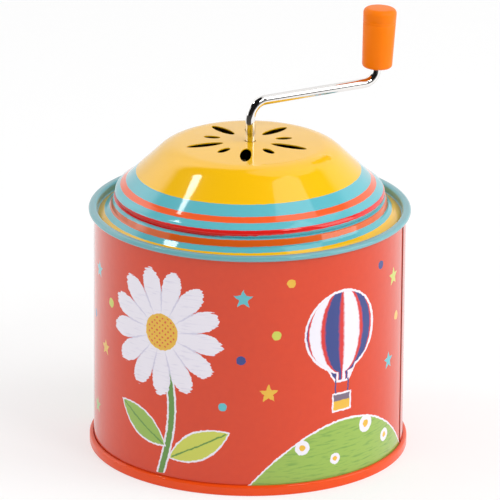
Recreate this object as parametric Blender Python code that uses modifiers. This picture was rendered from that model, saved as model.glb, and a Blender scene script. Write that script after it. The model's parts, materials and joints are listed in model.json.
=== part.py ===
"""Hand-cranked tin music box, modelled at real size in metres, with +Z up.

A printed can with a seamed floor and a domed lid holds a comb movement. The wire crank turns a worm,
the worm turns a pinned cylinder, and the pins pass the tips of a steel comb. The origin is on the
ground at the centre of the can, below the crank shaft, and the front of the can faces -Y.
"""

import math

import bmesh
import bpy
from mathutils import Matrix, Vector

# Clearance and facets
GAP = 0.0003
WELD = 0.000002
FLATNESS = math.radians(0.1)
CAN_STEPS = 44
TURNED_STEPS = 20
SMALL_STEPS = 8

# Can body, its side seam, and the seams at its foot and rim
SHEET = 0.0003
BODY_RADIUS = 0.0427
RIM_TOP = 0.0683
SEAM_HEIGHT = 0.0028
FLOOR_RECESS = 0.0029
FOOT_HOOK = 0.0006
RIM_HOOK = 0.0009
SEAM_BEND = 0.0003
LAP_AZIMUTH = math.radians(-9.5)
LAP_WIDTH = 0.0044
LAP_RISE = 0.0002

# Lid's visible side: rises above the rim's top, and insets from the body's outside
LID_RISE = 0.0186
PLATEAU_FALL = math.radians(2.0)
SHOULDER_FILLET = 0.01
CONE_FOOT_RISE = 0.0068
CONE_FOOT_INSET = 0.0085
CONE_SLOPE = math.radians(43.8)
BEAD_RISE = 0.0041
BEAD_INSET = 0.0058
BEAD_ROLL = 0.0016
STEP_TOP_RISE = 0.0026
STEP_TOP_INSET = 0.0054
STEP_FOOT_RISE = 0.0005
STEP_FOOT_INSET = 0.0048
FLANGE_DROP = 0.0008
FLANGE_INSET = 0.0033
GUTTER_DROP = 0.0023

# Sound slots in the lid, long and short ones in turn
SLOT_PAIRS = 5
LONG_SLOT_INNER = 0.0068
LONG_SLOT_OUTER = 0.0181
LONG_SLOT_WIDTH = 0.0031
SHORT_SLOT_INNER = 0.0082
SHORT_SLOT_OUTER = 0.0133
SHORT_SLOT_WIDTH = 0.0024
SLOT_STEPS = 12

# Crank wire and knob
WIRE_RADIUS = 0.00125
LID_BEND = 0.0055
KNOB_BEND = 0.004
ARM_RISE = 0.0109
ARM_LENGTH = 0.0398
ARM_AZIMUTH = math.radians(30.0)
KNOB_LEAN = math.radians(2.7)
KNOB_SEAT = 0.0041
KNOB_LENGTH = 0.0169
KNOB_TOP_RADIUS = 0.00465
KNOB_FOOT_RADIUS = 0.00415
KNOB_TOP_EDGE = 0.0014
KNOB_FOOT_EDGE = 0.001
KNOB_BORE_DEPTH = 0.0125

# Carrier disc that snaps behind the lid's bead, and the bedplate below it
CARRIER_THICKNESS = 0.0016
CARRIER_CHAMFER = 0.0005
CARRIER_HOLE_RADIUS = 0.006
WINDOW_COUNT = 6
WINDOW_RADIUS = 0.005
WINDOW_INSET = 0.0093
BEDPLATE_THICKNESS = 0.0024
BEDPLATE_CORNER = 0.002
BEDPLATE_MARGIN = 0.0015
BOSS_RADIUS = 0.0032

# Worm and wheel
WHEEL_TEETH = 20
WHEEL_PITCH_RADIUS = 0.007
WHEEL_WIDTH = 0.0024
WORM_PITCH_RADIUS = 0.0028
WORM_CORE_RADIUS = 0.0023
THREAD_HEIGHT = 0.00085
THREAD_TURNS = 3.0
THREAD_POINTS = 12
THREAD_END = 0.4
MESH_CLEARANCE = 0.0003
MESH_BACKLASH = 0.0005
WORM_LENGTH = 0.009
AXIS_DROP = 0.0092

# Crank shaft, its coupling and its clip
SHAFT_RADIUS = 0.0015
COUPLING_RADIUS = 0.0028
COUPLING_LENGTH = 0.008
COUPLING_STANDOFF = 0.0006
GRUB_RADIUS = 0.0007
CLIP_THICKNESS = 0.0005
CLIP_DEPTH = 0.0006
CLIP_WIDTH = 0.0011
CLIP_MOUTH = math.radians(70.0)

# Pinned cylinder
CYLINDER_RADIUS = 0.0065
CYLINDER_WALL = 0.0008
CYLINDER_LENGTH = 0.0185
CAP_THICKNESS = 0.0014
HUB_LENGTH = 0.0023
PIN_HEIGHT = 0.0008
PIN_RADIUS = 0.0003
PIN_BEATS = 54
ARBOR_RADIUS = 0.001
ARBOR_END = 0.0013

# Comb
COMB_TEETH = 18
TOOTH_PITCH = 0.0009
TOOTH_SLIT = 0.00025
COMB_DEPTH = 0.0125
BASS_SLIT_LENGTH = 0.0075
TREBLE_SLIT_LENGTH = 0.005
COMB_THICKNESS = 0.0009
COMB_START = 0.0016
LEDGE_DEPTH = 0.0052

# Bent strip brackets
STRIP = 0.001
BRACKET_WIDTH = 0.007
FOOT_LENGTH = 0.006
END_PLAY = 0.0005
BRACKET_BELOW_AXIS = 0.0035
WORM_BRACKET_OFFSET = 0.006
WORM_FOOT_BELOW_AXIS = 0.0065
WORM_FOOT_PAST_SHAFT = 0.0035

# Screws
SCREW_RADIUS = 0.001
SCREW_HEAD_RADIUS = 0.0019
SCREW_HEAD_HEIGHT = 0.0012
SCREW_GRIP = 0.0018
SCREW_MARGIN = 0.0006
SCREW_EDGE = 0.003
SCREW_AZIMUTH = math.radians(140.0)
COMB_SCREW_TEETH = 4

# Heights and places that follow from the sizes above
LID_TOP = RIM_TOP + LID_RISE
ARM_HEIGHT = LID_TOP + ARM_RISE
BEAD_RADIUS = BODY_RADIUS - BEAD_INSET
BEAD_HEIGHT = RIM_TOP + BEAD_RISE
RIM_RADIUS = BODY_RADIUS + RIM_HOOK + GAP + SHEET
FOOT_RADIUS = BODY_RADIUS + FOOT_HOOK + GAP + SHEET
CHUCK_RADIUS = BODY_RADIUS - SHEET - GAP
RIM_FOOT = RIM_TOP - 3 * SHEET - 2 * GAP
CARRIER_RADIUS = BEAD_RADIUS - SHEET - GAP
CARRIER_TOP = BEAD_HEIGHT + CARRIER_THICKNESS / 2
CARRIER_FOOT = BEAD_HEIGHT - CARRIER_THICKNESS / 2
BEDPLATE_TOP = CARRIER_FOOT - GAP
BEDPLATE_FOOT = BEDPLATE_TOP - BEDPLATE_THICKNESS
STRIP_TOP = BEDPLATE_FOOT - GAP
CLIP_FOOT = BEDPLATE_TOP + GAP
COUPLING_HEIGHT = CLIP_FOOT + CLIP_THICKNESS + COUPLING_STANDOFF + COUPLING_LENGTH / 2
AXIS_Z = BEDPLATE_FOOT - AXIS_DROP
AXIS_Y = -(WHEEL_PITCH_RADIUS + WORM_PITCH_RADIUS)
THREAD_LEAD = 2 * math.pi * WHEEL_PITCH_RADIUS / WHEEL_TEETH
WORM_CREST_RADIUS = WORM_CORE_RADIUS + THREAD_HEIGHT
CYLINDER_START = WHEEL_WIDTH / 2 + GAP
CYLINDER_END = CYLINDER_START + CYLINDER_LENGTH
CYLINDER_BORE = CYLINDER_RADIUS - CYLINDER_WALL
LEFT_LEG = -WHEEL_WIDTH / 2 - END_PLAY
RIGHT_LEG = CYLINDER_END + END_PLAY
COMB_LEFT = CYLINDER_START + COMB_START
COMB_RIGHT = COMB_LEFT + COMB_TEETH * TOOTH_PITCH
COMB_TIP = AXIS_Y - CYLINDER_RADIUS - PIN_HEIGHT - GAP
COMB_BACK = COMB_TIP - COMB_DEPTH
COMB_TOP = AXIS_Z + COMB_THICKNESS / 2
LEDGE_FOOT = COMB_TOP + GAP
SCREW_HOLE = SCREW_RADIUS + GAP
SCREW_CIRCLE = CARRIER_HOLE_RADIUS + SCREW_HEAD_RADIUS + SCREW_MARGIN

# Screw places on the bedplate: through the carrier, and through the brackets' feet
MOVEMENT_SCREWS = [
    (SCREW_CIRCLE * math.cos(SCREW_AZIMUTH), SCREW_CIRCLE * math.sin(SCREW_AZIMUTH)),
    (CYLINDER_END - SCREW_EDGE, (AXIS_Y + BRACKET_WIDTH / 2) / 2),
    ((COMB_LEFT + COMB_RIGHT) / 2, COMB_TIP - SCREW_EDGE),
]
BRACKET_SCREWS = [
    (LEFT_LEG - STRIP - FOOT_LENGTH / 2, AXIS_Y),
    (RIGHT_LEG + STRIP + FOOT_LENGTH / 2, AXIS_Y),
    (0.0, WORM_BRACKET_OFFSET + STRIP + FOOT_LENGTH / 2),
]
COMB_SCREWS = [
    (COMB_LEFT + COMB_SCREW_TEETH * TOOTH_PITCH, COMB_BACK + LEDGE_DEPTH / 2),
    (COMB_RIGHT - COMB_SCREW_TEETH * TOOTH_PITCH, COMB_BACK + LEDGE_DEPTH / 2),
]


def new_collection(name):
    collection = bpy.data.collections.new(name)
    bpy.context.scene.collection.children.link(collection)
    return collection


def finish(name, colour, roughness, metallic):
    """A material of one colour, with its roughness and how metallic it is."""
    made = bpy.data.materials.new(name)
    made.use_nodes = True
    shader = made.node_tree.nodes["Principled BSDF"]
    shader.inputs["Base Color"].default_value = (*colour, 1.0)
    shader.inputs["Roughness"].default_value = roughness
    shader.inputs["Metallic"].default_value = metallic
    return made


def empty(name, location, rotation=(0.0, 0.0, 0.0)):
    """An axis that moving pieces hang on."""
    axis = bpy.data.objects.new(name, None)
    axis.location = location
    axis.rotation_euler = rotation
    axis.empty_display_size = BODY_RADIUS / 4
    parts.objects.link(axis)
    return axis


def piece(obj, material, parent=None):
    """Gives a finished solid its material and hangs it, with its cutters, on its axis."""
    obj.data.materials.clear()
    obj.data.materials.append(material)
    obj.parent = parent
    for change in obj.modifiers:
        change.object.parent = parent


def as_mesh(obj):
    """Replaces an object by a plain mesh of its evaluated shape, welded and shaded smooth."""
    name = obj.name
    bpy.context.view_layer.update()
    graph = bpy.context.evaluated_depsgraph_get()
    mesh = bpy.data.meshes.new_from_object(obj.evaluated_get(graph))
    shape = bmesh.new()
    shape.from_mesh(mesh)
    bmesh.ops.remove_doubles(shape, verts=shape.verts, dist=WELD)
    shape.to_mesh(mesh)
    shape.free()
    mesh.shade_smooth()
    mesh.set_sharp_from_angle(angle=math.radians(30.0))
    bpy.data.objects.remove(obj)
    made = bpy.data.objects.new(name, mesh)
    parts.objects.link(made)
    return made


def arc(centre, radius, start, end, steps):
    """Points of a circular arc between two angles in degrees."""
    angles = [math.radians(start + (end - start) * i / steps) for i in range(steps + 1)]
    return [(centre[0] + radius * math.cos(a), centre[1] + radius * math.sin(a)) for a in angles]


def fillet(before, corner, after, radius, steps):
    """The arc that rounds the corner of a line through three points."""
    corner = Vector(corner)
    to_before = (Vector(before) - corner).normalized()
    to_after = (Vector(after) - corner).normalized()
    half = to_before.angle(to_after) / 2
    centre = corner + (to_before + to_after).normalized() * (radius / math.sin(half))
    first = corner + to_before * (radius / math.tan(half)) - centre
    last = corner + to_after * (radius / math.tan(half)) - centre
    turn = math.atan2(first.x * last.y - first.y * last.x, first.dot(last))
    points = []
    for i in range(steps + 1):
        spoke = Matrix.Rotation(turn * i / steps, 2) @ first
        points.append(tuple(centre + spoke))
    return points


def rounded(corners, radius, steps):
    """A closed outline with every corner rounded."""
    outline = []
    for i, corner in enumerate(corners):
        outline += fillet(corners[i - 1], corner, corners[(i + 1) % len(corners)], radius, steps)
    return outline


def circle(centre, radius, steps=SMALL_STEPS):
    return arc(centre, radius, 0.0, 360.0, steps)[:-1]


def turned(name, profile, steps, sheet=0.0, angle=2 * math.pi):
    """A profile of (radius, height) points turned about Z, solid or of a sheet's thickness."""
    mesh = bpy.data.meshes.new(name)
    edges = [(i, i + 1) for i in range(len(profile) - 1)]
    mesh.from_pydata([(radius, 0.0, height) for radius, height in profile], edges, [])
    obj = bpy.data.objects.new(name, mesh)
    parts.objects.link(obj)
    turn = obj.modifiers.new("turn", "SCREW")
    turn.axis = "Z"
    turn.angle = angle
    turn.steps = steps
    turn.render_steps = steps
    turn.use_merge_vertices = True
    turn.merge_threshold = WELD
    if sheet:
        thicken = obj.modifiers.new("thicken", "SOLIDIFY")
        thicken.thickness = sheet
        thicken.offset = -1.0
        thicken.use_even_offset = True
    return as_mesh(obj)


def flat(name, outlines, thickness):
    """A flat plate standing on z = 0: the first outline is its edge, the others are holes."""
    curve = bpy.data.curves.new(name, "CURVE")
    curve.dimensions = "2D"
    curve.fill_mode = "BOTH"
    curve.extrude = thickness / 2
    for outline in outlines:
        spline = curve.splines.new("POLY")
        spline.points.add(len(outline) - 1)
        spline.use_cyclic_u = True
        for point, (x, y) in zip(spline.points, outline):
            point.co = (x, y, 0.0, 1.0)
    obj = bpy.data.objects.new(name, curve)
    parts.objects.link(obj)
    made = as_mesh(obj)
    made.data.transform(Matrix.Translation((0.0, 0.0, thickness / 2)))
    shape = bmesh.new()
    shape.from_mesh(made.data)
    bmesh.ops.dissolve_limit(shape, angle_limit=FLATNESS, verts=shape.verts, edges=shape.edges)
    shape.to_mesh(made.data)
    shape.free()
    return made


def wire(name, points, radius, bevel_resolution, radii=None):
    """A round wire along a line of points, with closed ends."""
    curve = bpy.data.curves.new(name, "CURVE")
    curve.dimensions = "3D"
    curve.bevel_depth = radius
    curve.bevel_resolution = bevel_resolution
    curve.use_fill_caps = True
    spline = curve.splines.new("POLY")
    spline.points.add(len(points) - 1)
    for i, place in enumerate(points):
        spline.points[i].co = (*place, 1.0)
        spline.points[i].radius = radii[i] if radii else 1.0
    obj = bpy.data.objects.new(name, curve)
    parts.objects.link(obj)
    return as_mesh(obj)


def box(name, low, high):
    """A block between two corners."""
    mesh = bpy.data.meshes.new(name)
    shape = bmesh.new()
    bmesh.ops.create_cube(shape, size=1.0)
    low, high = Vector(low), Vector(high)
    size = high - low
    place = Matrix.Translation((low + high) / 2) @ Matrix.Diagonal((*size, 1.0))
    bmesh.ops.transform(shape, matrix=place, verts=shape.verts)
    shape.to_mesh(mesh)
    shape.free()
    obj = bpy.data.objects.new(name, mesh)
    parts.objects.link(obj)
    return obj


def rod(name, radius, length, steps=SMALL_STEPS, tip_radius=None):
    """A round bar or taper standing on z = 0."""
    mesh = bpy.data.meshes.new(name)
    shape = bmesh.new()
    bmesh.ops.create_cone(
        shape,
        cap_ends=True,
        segments=steps,
        radius1=radius,
        radius2=radius if tip_radius is None else tip_radius,
        depth=length,
    )
    bmesh.ops.translate(shape, vec=(0.0, 0.0, length / 2), verts=shape.verts)
    shape.to_mesh(mesh)
    shape.free()
    obj = bpy.data.objects.new(name, mesh)
    parts.objects.link(obj)
    return obj


def repeated(name, pattern, places):
    """Copies of one solid at several places in one object, to cut or join with."""
    mesh = bpy.data.meshes.new(name)
    shape = bmesh.new()
    for place in places:
        copy = pattern.data.copy()
        copy.transform(place)
        shape.from_mesh(copy)
        bpy.data.meshes.remove(copy)
    shape.to_mesh(mesh)
    shape.free()
    bpy.data.objects.remove(pattern)
    obj = bpy.data.objects.new(name, mesh)
    parts.objects.link(obj)
    return obj


def alike(name, pattern, places, material, parent=None):
    """Numbered copies of one small piece that share its mesh, each an object of its own."""
    mesh = pattern.data
    bpy.data.objects.remove(pattern)
    for number, place in enumerate(places, start=1):
        obj = bpy.data.objects.new(f"{name}_{number}", mesh)
        obj.matrix_local = place
        parts.objects.link(obj)
        piece(obj, material, parent)


def at(x, y, z):
    return Matrix.Translation((x, y, z))


def about(axis, angle):
    return Matrix.Rotation(angle, 4, axis)


def combine(obj, other, operation):
    """Cuts a solid with another one or joins the two, and files the other with the cutters."""
    change = obj.modifiers.new(other.name, "BOOLEAN")
    change.operation = operation
    change.solver = "EXACT"
    change.object = other
    parts.objects.unlink(other)
    cutters.objects.link(other)
    other.hide_render = True
    other.display_type = "WIRE"
    return obj


def cut(obj, cutter):
    return combine(obj, cutter, "DIFFERENCE")


def join(obj, extra):
    return combine(obj, extra, "UNION")


def body_profile():
    """Outer side of the body sheet: under the rim's hook, down the wall, and over the foot's hook."""
    rim_level = RIM_TOP - 2 * SHEET - GAP
    foot_level = 2 * SHEET + GAP
    return [
        (BODY_RADIUS + RIM_HOOK, rim_level),
        (BODY_RADIUS + SEAM_BEND, rim_level),
        (BODY_RADIUS, rim_level - SEAM_BEND),
        (BODY_RADIUS, foot_level + SEAM_BEND),
        (BODY_RADIUS + SEAM_BEND, foot_level),
        (BODY_RADIUS + FOOT_HOOK, foot_level),
    ]


def floor_profile():
    """Outer side of the floor sheet: round the seam, under it, up the chuck wall, and across."""
    hook_end = BODY_RADIUS + GAP
    panel_edge = CHUCK_RADIUS - SHEET
    return [
        (hook_end, SEAM_HEIGHT),
        (FOOT_RADIUS - 2 * SEAM_BEND, SEAM_HEIGHT),
        (FOOT_RADIUS, SEAM_HEIGHT - 2 * SEAM_BEND),
        (FOOT_RADIUS, SEAM_BEND),
        (FOOT_RADIUS - SEAM_BEND, 0.0),
        (panel_edge + SEAM_BEND, 0.0),
        (panel_edge, SEAM_BEND),
        (panel_edge, FLOOR_RECESS - 2 * SEAM_BEND),
        (panel_edge - 2 * SEAM_BEND, FLOOR_RECESS),
        (0.0, FLOOR_RECESS),
    ]


def lid_profile():
    """Visible side of the lid sheet, from the shaft hole out and down to the curled rim."""
    hole = WIRE_RADIUS + GAP
    fall = math.tan(PLATEAU_FALL)
    slope = math.tan(CONE_SLOPE)
    cone_foot = (BODY_RADIUS - CONE_FOOT_INSET, RIM_TOP + CONE_FOOT_RISE)
    cone_at_axis = cone_foot[1] + slope * cone_foot[0]
    corner_radius = (cone_at_axis - LID_TOP) / (slope - fall)
    corner = (corner_radius, LID_TOP - fall * corner_radius)
    start = (hole, LID_TOP - fall * hole)
    bead_centre = (BEAD_RADIUS - BEAD_ROLL, BEAD_HEIGHT)
    roll = (RIM_TOP - RIM_FOOT) / 2
    chuck = CHUCK_RADIUS - SHEET
    profile = [start]
    profile += fillet(start, corner, cone_foot, SHOULDER_FILLET, 4)
    profile.append(cone_foot)
    profile += arc(bead_centre, BEAD_ROLL, 48.0, -50.0, 4)
    profile += [
        (BODY_RADIUS - STEP_TOP_INSET, RIM_TOP + STEP_TOP_RISE),
        (BODY_RADIUS - STEP_FOOT_INSET, RIM_TOP + STEP_FOOT_RISE),
        (BODY_RADIUS - FLANGE_INSET, RIM_TOP - FLANGE_DROP),
        (chuck - SEAM_BEND, RIM_TOP - GUTTER_DROP),
        (chuck, RIM_TOP - GUTTER_DROP + SEAM_BEND),
    ]
    profile += arc((chuck + roll, RIM_TOP - roll), roll, 180.0, 90.0, 2)
    profile += arc((RIM_RADIUS - roll, RIM_TOP - roll), roll, 90.0, -90.0, 3)
    profile.append((BODY_RADIUS + GAP, RIM_FOOT))
    return profile


def side_seam():
    """The lapped edge of the body sheet, a low strip from the foot seam to the rim."""
    middle = BODY_RADIUS - SHEET / 2
    profile = [
        (BODY_RADIUS + LAP_RISE, RIM_FOOT - GAP),
        (BODY_RADIUS + LAP_RISE, SEAM_HEIGHT + GAP),
    ]
    angle = LAP_WIDTH / BODY_RADIUS
    depth = BODY_RADIUS + LAP_RISE - middle
    strip = turned("lapped_side_seam", profile, 2, sheet=depth, angle=angle)
    strip.data.transform(about("Z", LAP_AZIMUTH - angle / 2))
    return strip


def slot_outline(inner, outer, width, azimuth):
    """An oval along a radius of the lid."""
    middle = (inner + outer) / 2
    oval = []
    for angle in (2 * math.pi * i / SLOT_STEPS for i in range(SLOT_STEPS)):
        along = middle + (outer - inner) / 2 * math.cos(angle)
        aside = width / 2 * math.sin(angle)
        x = along * math.cos(azimuth) - aside * math.sin(azimuth)
        y = along * math.sin(azimuth) + aside * math.cos(azimuth)
        oval.append((x, y))
    return oval


def slot_cutter():
    """All the sound slots as upright prisms through the lid's plateau."""
    shapes = (
        (LONG_SLOT_INNER, LONG_SLOT_OUTER, LONG_SLOT_WIDTH),
        (SHORT_SLOT_INNER, SHORT_SLOT_OUTER, SHORT_SLOT_WIDTH),
    )
    front = math.radians(-90.0)
    outlines = []
    for i in range(2 * SLOT_PAIRS):
        outlines.append(slot_outline(*shapes[i % 2], front + math.pi * i / SLOT_PAIRS))
    height = SHOULDER_FILLET
    cutter = flat("sound_slots", outlines, height)
    cutter.data.transform(at(0.0, 0.0, LID_TOP - height / 2))
    return cutter


def can():
    """Body, floor and lid, hooked into each other at the seams."""
    body = turned("body_shell", body_profile(), CAN_STEPS, sheet=SHEET)
    piece(join(body, side_seam()), red_lacquer)
    piece(turned("base_plate", floor_profile(), CAN_STEPS, sheet=SHEET), orange_lacquer)
    lid = turned("lid", lid_profile(), CAN_STEPS, sheet=SHEET)
    piece(cut(lid, slot_cutter()), yellow_lacquer)


def arm_point(along, up):
    """A place in the upright plane of the crank arm."""
    return (along * math.cos(ARM_AZIMUTH), along * math.sin(ARM_AZIMUTH), up)


def crank():
    """The bent wire, with its lower end in the coupling and its upper end in the knob's bore."""
    lean = Vector((math.sin(KNOB_LEAN), math.cos(KNOB_LEAN)))
    elbow = Vector((ARM_LENGTH, ARM_HEIGHT))
    tip = elbow + lean * (KNOB_SEAT + KNOB_BORE_DEPTH - GAP)
    foot = (0.0, COUPLING_HEIGHT + GAP / 2)
    corner = (0.0, ARM_HEIGHT)
    line = [foot]
    line += fillet(foot, corner, elbow, LID_BEND, 5)
    line += fillet(corner, elbow, tip, KNOB_BEND, 5)
    line.append(tuple(tip))
    bent = wire("crank_wire", [arm_point(*place) for place in line], WIRE_RADIUS, 3)
    piece(bent, bright_steel, crank_axis)

    seat = elbow + lean * KNOB_SEAT
    knob = turned("crank_knob", knob_profile(), TURNED_STEPS)
    knob.location = arm_point(*seat)
    knob.rotation_euler = (0.0, KNOB_LEAN, ARM_AZIMUTH)
    piece(knob, orange_plastic, crank_axis)


def knob_profile():
    """The knob from its top centre down its side and up its blind bore."""
    bore = WIRE_RADIUS + GAP
    side_top = (KNOB_TOP_RADIUS, KNOB_LENGTH)
    side_foot = (KNOB_FOOT_RADIUS, 0.0)
    profile = [(0.0, KNOB_LENGTH)]
    profile += fillet((0.0, KNOB_LENGTH), side_top, side_foot, KNOB_TOP_EDGE, 3)
    profile += fillet(side_top, side_foot, (bore, 0.0), KNOB_FOOT_EDGE, 2)
    profile += [(bore, 0.0), (bore, KNOB_BORE_DEPTH), (0.0, KNOB_BORE_DEPTH)]
    return profile


def clip(name, inner):
    """An open retaining clip lying on z = 0."""
    half = math.degrees(CLIP_MOUTH) / 2
    outline = arc((0.0, 0.0), inner + CLIP_WIDTH, half, 360.0 - half, SMALL_STEPS)
    outline += arc((0.0, 0.0), inner, 360.0 - half, half, SMALL_STEPS)
    return flat(name, [outline], CLIP_THICKNESS)


def thread():
    """A right-hand V thread on the worm, tapered out at both ends."""
    turns = THREAD_TURNS
    count = int(turns * THREAD_POINTS)
    facing_wheel = math.radians(-90.0)
    points, radii = [], []
    for i in range(count + 1):
        turn = (i / count - 0.5) * turns
        angle = facing_wheel + 2 * math.pi * turn
        x = WORM_CORE_RADIUS * math.cos(angle)
        y = WORM_CORE_RADIUS * math.sin(angle)
        points.append((x, y, AXIS_Z + THREAD_LEAD * turn))
        ends = min(i, count - i) / (THREAD_POINTS / 4)
        radii.append(min(1.0, THREAD_END + (1.0 - THREAD_END) * ends))
    return wire("worm_thread", points, THREAD_HEIGHT, 0, radii)


def shaft_profile():
    """Crank shaft with the worm's core and the groove for its clip, turned about Z."""
    core_top = AXIS_Z + WORM_LENGTH / 2
    core_foot = AXIS_Z - WORM_LENGTH / 2
    groove_foot = CLIP_FOOT - GAP / 2
    groove_top = CLIP_FOOT + CLIP_THICKNESS + GAP / 2
    groove = SHAFT_RADIUS - CLIP_DEPTH
    top = COUPLING_HEIGHT - GAP / 2
    foot = AXIS_Z - WORM_FOOT_BELOW_AXIS - STRIP - GAP
    return [
        (0.0, top),
        (SHAFT_RADIUS, top),
        (SHAFT_RADIUS, groove_top),
        (groove, groove_top),
        (groove, groove_foot),
        (SHAFT_RADIUS, groove_foot),
        (SHAFT_RADIUS, core_top),
        (WORM_CORE_RADIUS, core_top),
        (WORM_CORE_RADIUS, core_foot),
        (SHAFT_RADIUS, core_foot),
        (SHAFT_RADIUS, foot),
        (0.0, foot),
    ]


def crank_shaft():
    """Worm shaft, its clip, and the coupling with two grub screws that holds the crank wire."""
    shaft = turned("worm_shaft", shaft_profile(), TURNED_STEPS)
    piece(join(shaft, thread()), brass, crank_axis)

    ring = clip("shaft_clip", SHAFT_RADIUS - CLIP_DEPTH + GAP)
    ring.data.transform(at(0.0, 0.0, CLIP_FOOT))
    piece(ring, spring_steel, crank_axis)

    half = COUPLING_LENGTH / 2
    wire_bore = WIRE_RADIUS + GAP
    shaft_bore = SHAFT_RADIUS + GAP
    profile = [
        (wire_bore, COUPLING_HEIGHT + half),
        (COUPLING_RADIUS, COUPLING_HEIGHT + half),
        (COUPLING_RADIUS, COUPLING_HEIGHT - half),
        (shaft_bore, COUPLING_HEIGHT - half),
        (shaft_bore, COUPLING_HEIGHT),
        (wire_bore, COUPLING_HEIGHT),
        (wire_bore, COUPLING_HEIGHT + half),
    ]
    grub_places = [
        at(0.0, -WIRE_RADIUS - GAP, COUPLING_HEIGHT + half / 2) @ about("X", math.pi / 2),
        at(0.0, -SHAFT_RADIUS - GAP, COUPLING_HEIGHT - half / 2) @ about("X", math.pi / 2),
    ]
    drill = rod("grub_drill", GRUB_RADIUS + GAP, COUPLING_RADIUS)
    drill.data.transform(at(0.0, 0.0, -GAP))
    sleeve = turned("shaft_coupling", profile, TURNED_STEPS)
    piece(cut(sleeve, repeated("grub_holes", drill, grub_places)), brass, crank_axis)
    grub = rod("grub", GRUB_RADIUS, COUPLING_RADIUS - WIRE_RADIUS - GAP)
    alike("coupling_screw", grub, grub_places, spring_steel, crank_axis)


def wheel_outline():
    """Edge of the worm wheel, with a tooth space facing the worm."""
    reach = WHEEL_PITCH_RADIUS + WORM_PITCH_RADIUS
    tip = reach - WORM_CORE_RADIUS - MESH_CLEARANCE
    root = reach - WORM_CREST_RADIUS - MESH_CLEARANCE
    tip_space = 2 * (WORM_CREST_RADIUS - (reach - tip)) + MESH_BACKLASH
    root_space = MESH_BACKLASH + MESH_CLEARANCE
    pitch = 2 * math.pi / WHEEL_TEETH
    outline = []
    for i in range(WHEEL_TEETH):
        space = math.radians(90.0) + pitch * i
        corners = (
            (root, space - root_space / root / 2),
            (root, space + root_space / root / 2),
            (tip, space + tip_space / tip / 2),
            (tip, space + pitch - tip_space / tip / 2),
        )
        outline += [(radius * math.cos(a), radius * math.sin(a)) for radius, a in corners]
    return outline


def drum():
    """Worm wheel, pinned cylinder, end cap, arbor and clips, turned about their own Z axis."""
    bore = ARBOR_RADIUS + GAP
    wheel = flat("drum_wheel", [wheel_outline()], WHEEL_WIDTH)
    wheel.data.transform(at(0.0, 0.0, -WHEEL_WIDTH / 2))
    lean = THREAD_LEAD / (2 * math.pi * WORM_PITCH_RADIUS) / WHEEL_PITCH_RADIUS
    for point in wheel.data.vertices:
        point.co = about("Z", point.co.z * lean) @ point.co
    hub = rod("wheel_hub", CYLINDER_BORE - GAP, WHEEL_WIDTH / 2 + HUB_LENGTH, TURNED_STEPS)
    drill = rod("wheel_drill", bore, WHEEL_WIDTH + 2 * HUB_LENGTH)
    drill.data.transform(at(0.0, 0.0, -WHEEL_WIDTH))
    piece(cut(join(wheel, hub), drill), white_plastic, drum_axis)

    tube = turned("tune_cylinder", tube_profile(), TURNED_STEPS)
    pin = rod("pin", PIN_RADIUS, CYLINDER_WALL / 2 + PIN_HEIGHT, 4, PIN_RADIUS * 2 / 3)
    pins = repeated("cylinder_pins", pin, pin_places())
    piece(join(tube, pins), brass, drum_axis)

    cap_top = CYLINDER_END - GAP
    cap_profile = [
        (bore, cap_top),
        (CYLINDER_BORE - GAP, cap_top),
        (CYLINDER_BORE - GAP, cap_top - CAP_THICKNESS),
        (bore, cap_top - CAP_THICKNESS),
        (bore, cap_top),
    ]
    piece(turned("cylinder_cap", cap_profile, TURNED_STEPS), brass, drum_axis)

    left_end = LEFT_LEG - STRIP - ARBOR_END
    right_end = RIGHT_LEG + STRIP + ARBOR_END
    arbor = rod("drum_arbor", ARBOR_RADIUS, right_end - left_end)
    arbor.data.transform(at(0.0, 0.0, left_end))
    piece(arbor, spring_steel, drum_axis)
    places = [
        at(0.0, 0.0, LEFT_LEG - STRIP - GAP - CLIP_THICKNESS),
        at(0.0, 0.0, RIGHT_LEG + STRIP + GAP),
    ]
    alike("arbor_clip", clip("ring", ARBOR_RADIUS + GAP), places, spring_steel, drum_axis)


def tube_profile():
    return [
        (CYLINDER_BORE, CYLINDER_END),
        (CYLINDER_RADIUS, CYLINDER_END),
        (CYLINDER_RADIUS, CYLINDER_START),
        (CYLINDER_BORE, CYLINDER_START),
        (CYLINDER_BORE, CYLINDER_END),
    ]


def pin_places():
    """One pin a beat, running up and down the scale."""
    places = []
    for beat in range(PIN_BEATS):
        sweep = beat * 5 % (2 * COMB_TEETH)
        note = min(sweep, 2 * COMB_TEETH - 1 - sweep)
        along = COMB_LEFT + TOOTH_PITCH * (note + 0.5)
        angle = 2 * math.pi * (beat + 0.5) / PIN_BEATS
        outward = about("Z", angle) @ about("Y", math.pi / 2)
        places.append(at(0.0, 0.0, along) @ outward @ at(0.0, 0.0, CYLINDER_RADIUS - CYLINDER_WALL / 2))
    return places


def comb():
    """Steel comb whose slits run shorter from bass to treble, held under the bedplate's ledge."""
    outline = [(COMB_LEFT, COMB_BACK), (COMB_LEFT, COMB_TIP)]
    for i in range(1, COMB_TEETH):
        middle = COMB_LEFT + i * TOOTH_PITCH
        share = i / COMB_TEETH
        length = BASS_SLIT_LENGTH + (TREBLE_SLIT_LENGTH - BASS_SLIT_LENGTH) * share
        outline += [
            (middle - TOOTH_SLIT / 2, COMB_TIP),
            (middle - TOOTH_SLIT / 2, COMB_TIP - length),
            (middle + TOOTH_SLIT / 2, COMB_TIP - length),
            (middle + TOOTH_SLIT / 2, COMB_TIP),
        ]
    outline += [(COMB_RIGHT, COMB_TIP), (COMB_RIGHT, COMB_BACK)]
    holes = [circle(place, SCREW_HOLE) for place in COMB_SCREWS]
    plate = flat("comb", [outline] + holes, COMB_THICKNESS)
    plate.data.transform(at(0.0, 0.0, COMB_TOP - COMB_THICKNESS))
    piece(plate, spring_steel)


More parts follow.
